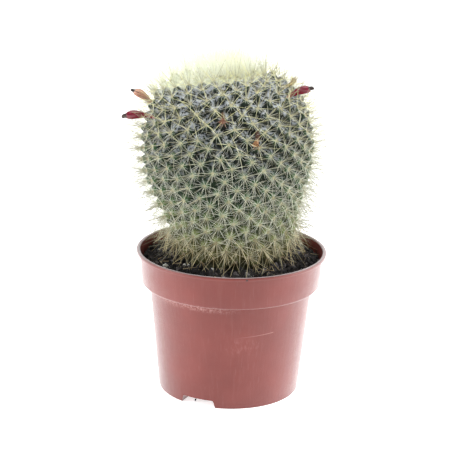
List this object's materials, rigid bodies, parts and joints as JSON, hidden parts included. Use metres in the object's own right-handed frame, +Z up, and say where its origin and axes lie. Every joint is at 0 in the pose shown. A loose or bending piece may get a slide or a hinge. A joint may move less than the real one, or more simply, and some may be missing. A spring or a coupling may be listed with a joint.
{
  "type": "potted round cactus",
  "caption": "Round spiny cactus with red berries and withered flowers, rooted in peat in a tapered plastic nursery pot that stands on its flat foot.",
  "frame": {"origin": "centre of the pot's flat foot, on the surface that it stands on", "axes": "+Z up along the pot's axis, -Y towards the pictured front, +X to the viewer's right"},
  "size_m": [0.129, 0.1247, 0.2175],
  "materials": {
    "pot_plastic": "satin",
    "peat": "matte",
    "cactus_skin": "satin",
    "ripe_fruit": "gloss",
    "drying_fruit": "satin",
    "dried_flower": "matte"
  },
  "bodies": {
    "root": {"pot": "pot_plastic", "soil": "peat", "cactus": "cactus_skin", "fruit_left_ripe": "ripe_fruit", "fruit_left_drying": "drying_fruit", "fruit_right_ripe": "ripe_fruit", "dried_flower_front": "dried_flower", "dried_flower_right": "dried_flower", "dried_flower_shoulder": "dried_flower"}
  },
  "joints": []
}
